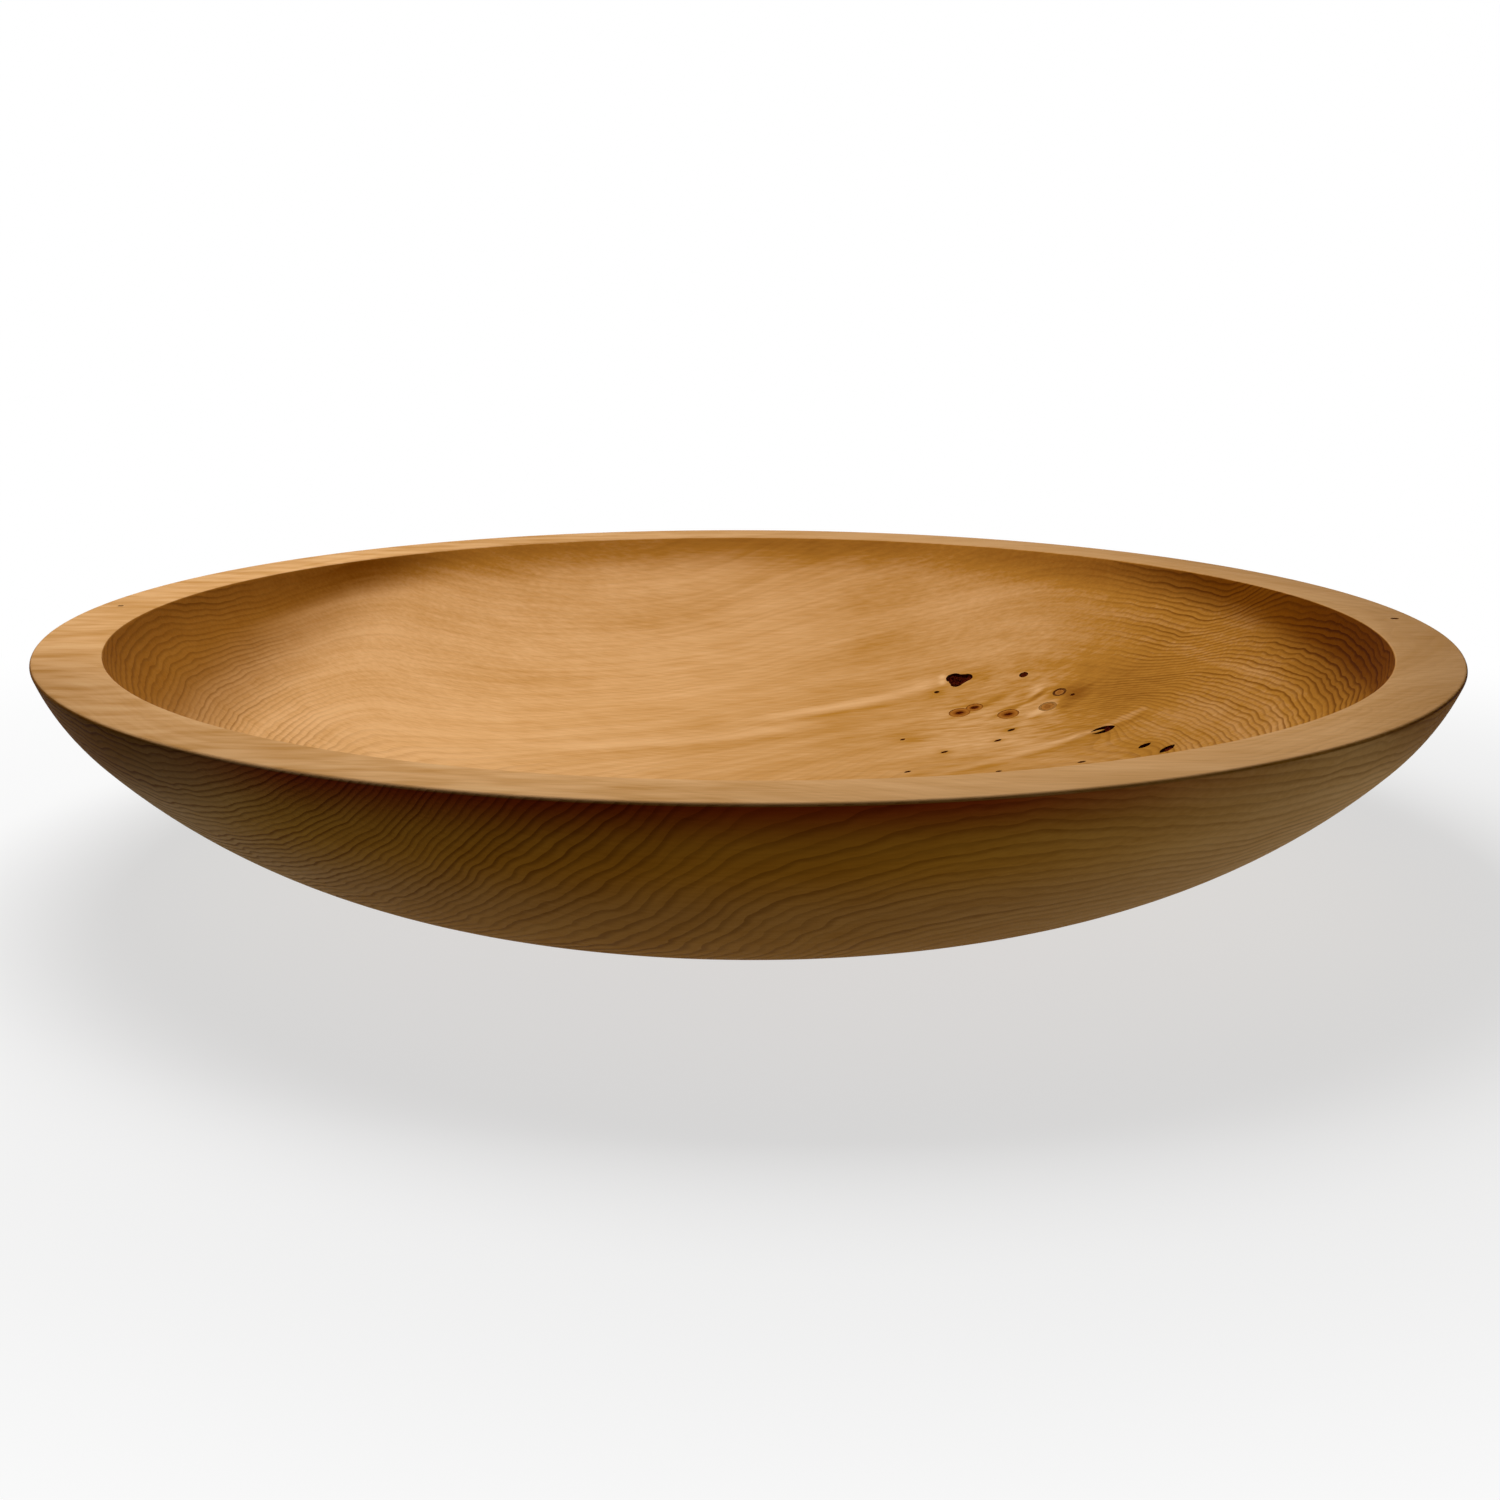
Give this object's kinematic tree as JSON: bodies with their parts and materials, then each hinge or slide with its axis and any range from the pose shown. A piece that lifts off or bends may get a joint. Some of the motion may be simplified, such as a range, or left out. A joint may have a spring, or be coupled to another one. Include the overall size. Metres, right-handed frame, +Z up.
{
  "type": "serving bowl",
  "caption": "Wide, shallow turned wooden bowl with a flat rim, a low foot and small bark knots in its hollow.",
  "frame": {"origin": "middle of the foot, on the surface that the bowl stands on", "axes": "+Z up along the turning axis, X along the grain from left to right in the picture, and -Y towards the side that the picture shows in front"},
  "size_m": [0.4196, 0.4196, 0.073],
  "materials": {
    "pale_timber": "oiled satin",
    "dark_bark": "rough bark",
    "eye_wood": "oiled satin",
    "heart_wood": "oiled satin",
    "twig_wood": "oiled satin",
    "ring_bark": "oiled satin",
    "pin_bark": "oiled satin"
  },
  "bodies": {
    "root": {"bowl": "pale_timber", "large_bark_knot": "dark_bark", "forked_bark_knot": "dark_bark", "side_bark_knots": "dark_bark", "eye_knots": "eye_wood", "eye_knot_hearts": "heart_wood", "ringed_knots": "twig_wood", "ringed_knot_bark": "ring_bark", "pin_knots": "pin_bark", "rim_pin_knots": "pin_bark"}
  },
  "joints": []
}
